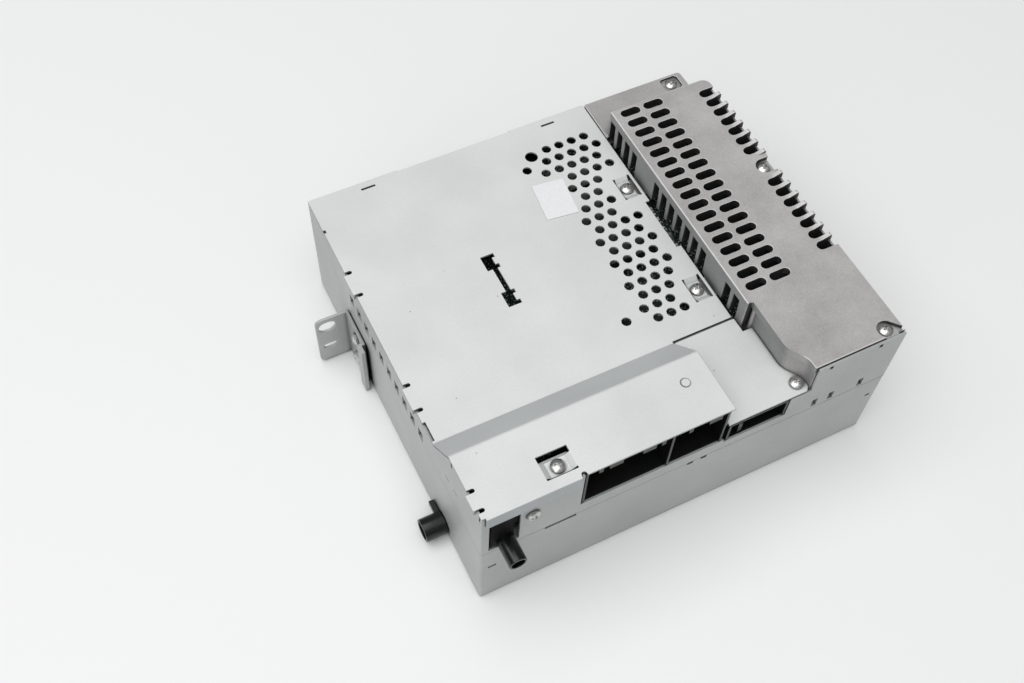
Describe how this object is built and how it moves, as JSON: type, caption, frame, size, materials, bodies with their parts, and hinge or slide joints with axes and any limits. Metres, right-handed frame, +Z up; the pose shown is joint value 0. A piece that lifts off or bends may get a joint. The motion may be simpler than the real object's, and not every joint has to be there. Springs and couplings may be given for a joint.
{
  "type": "car navigation radio",
  "caption": "Car navigation radio with perforated cover, raised rear tier, cast heat sink, rear sockets, side bracket and a slot-loading disc drive inside.",
  "frame": {"origin": "centre of the underside of the lower chassis, without bracket and jacks", "axes": "+X to the heat-sink side, +Y to the front with the disc slot, +Z up from the underside; the connectors face -Y"},
  "size_m": [0.1934, 0.1773, 0.074],
  "materials": {
    "galvanised_sheet": "zinc-plated sheet steel, fine dull grain",
    "cast_aluminium": "bare die-cast aluminium, fine grain",
    "bright_steel": "bright zinc-plated steel",
    "tin_plate": "tin-plated sheet, satin",
    "black_plastic": "black moulded plastic, satin",
    "grey_plastic": "dark grey moulded plastic, satin",
    "white_plastic": "natural white acetal",
    "gold_contact": "plated contact metal, bright",
    "board_green": "green solder mask on glass-fibre board",
    "rubber": "black rubber, matt",
    "paper_label": "white paper label, matt",
    "lens_glass": "clear moulded lens"
  },
  "bodies": {
    "housing": {"lower_chassis": "galvanised_sheet", "upper_frame": "galvanised_sheet", "top_cover": "galvanised_sheet", "right_plate": "galvanised_sheet", "mounting_bracket": "galvanised_sheet", "front_panel": "galvanised_sheet", "drive_tray": "galvanised_sheet", "disc_guide": "galvanised_sheet", "heat_sink": "cast_aluminium", "screw_bridge_front": "bright_steel", "screw_bridge_rear": "bright_steel", "screw_tier": "bright_steel", "screw_right_plate": "bright_steel", "screw_sink_boss": "bright_steel", "screw_sink_corner": "bright_steel", "screw_sink_ledge": "bright_steel", "screw_rear_panel": "bright_steel", "screw_bracket_low": "bright_steel", "screw_bracket_high": "bright_steel", "loading_motor": "bright_steel", "tin_shield": "tin_plate", "rear_antenna_jack": "black_plastic", "left_antenna_jack": "black_plastic", "main_connector_housing": "black_plastic", "small_connector_housing": "black_plastic", "processor": "black_plastic", "amplifier_chip": "black_plastic", "capacitor_rear": "black_plastic", "capacitor_front": "black_plastic", "slot_bezel": "black_plastic", "display_socket": "black_plastic", "pin_header": "grey_plastic", "rear_antenna_contact": "gold_contact", "left_antenna_contact": "gold_contact", "main_connector_pins_left": "gold_contact", "main_connector_pins_right": "gold_contact", "small_connector_pins": "gold_contact", "main_board": "board_green", "damper_rear_left": "rubber", "damper_rear_right": "rubber", "damper_front_left": "rubber", "damper_front_right": "rubber", "blank_label": "paper_label"},
    "traverse": {"traverse_deck": "galvanised_sheet", "spindle_motor": "bright_steel", "guide_rod_front": "bright_steel", "guide_rod_rear": "bright_steel", "sled_motor": "bright_steel"},
    "spindle": {"turntable": "black_plastic"},
    "screw_drive": {"lead_screw": "bright_steel"},
    "sled": {"pickup_sled": "grey_plastic", "objective_lens": "lens_glass"},
    "clamp": {"clamp_arm": "galvanised_sheet"},
    "puck": {"clamp_puck": "white_plastic"},
    "roller": {"loading_roller": "rubber", "roller_shaft": "bright_steel", "roller_gear": "white_plastic"},
    "idler": {"idler_gear": "white_plastic"},
    "drive_gear": {"motor_gear": "white_plastic"},
    "flap": {"dust_flap": "grey_plastic"}
  },
  "joints": [
    {"name": "traverse_lift", "type": "slide", "parent": "housing", "child": "traverse", "axis": [0, 0, 1], "range_m": [0, 0.0036]},
    {"name": "turntable_spin", "type": "hinge", "parent": "traverse", "child": "spindle", "pos_m": [-0.002, -0.0045, 0.02], "axis": [0, 0, 1], "continuous": true},
    {"name": "sled_slide", "type": "slide", "parent": "traverse", "child": "sled", "axis": [1, 0, 0], "range_m": [0, 0.033]},
    {"name": "lead_screw_spin", "type": "hinge", "parent": "traverse", "child": "screw_drive", "pos_m": [0.031, -0.0305, 0.017], "axis": [1, 0, 0], "continuous": true},
    {"name": "clamp_swing", "type": "hinge", "parent": "housing", "child": "clamp", "pos_m": [-0.002, -0.065, 0.0354], "axis": [1, 0, 0], "range_deg": [-2.6, 0]},
    {"name": "clamp_puck_spin", "type": "hinge", "parent": "clamp", "child": "puck", "pos_m": [-0.002, -0.0045, 0.034], "axis": [0, 0, 1], "continuous": true},
    {"name": "roller_spin", "type": "hinge", "parent": "housing", "child": "roller", "pos_m": [-0.002, 0.0635, 0.0216], "axis": [1, 0, 0], "continuous": true},
    {"name": "idler_spin", "type": "hinge", "parent": "housing", "child": "idler", "pos_m": [0.0731, 0.04952, 0.01618], "axis": [1, 0, 0], "continuous": true},
    {"name": "motor_gear_spin", "type": "hinge", "parent": "housing", "child": "drive_gear", "pos_m": [0.0731, 0.03678, 0.01567], "axis": [1, 0, 0], "continuous": true},
    {"name": "dust_flap_swing", "type": "hinge", "parent": "housing", "child": "flap", "pos_m": [-0.002, 0.0761, 0.0324], "axis": [1, 0, 0], "range_deg": [-75, 0]}
  ],
  "couplings": [
    {"joint": "lead_screw_spin", "follows": "sled_slide", "rad_per_m": 2094.4},
    {"joint": "clamp_swing", "follows": "traverse_lift", "rad_per_m": -12.605},
    {"joint": "idler_spin", "follows": "roller_spin", "ratio": -0.66667},
    {"joint": "motor_gear_spin", "follows": "roller_spin", "ratio": 1.6}
  ]
}
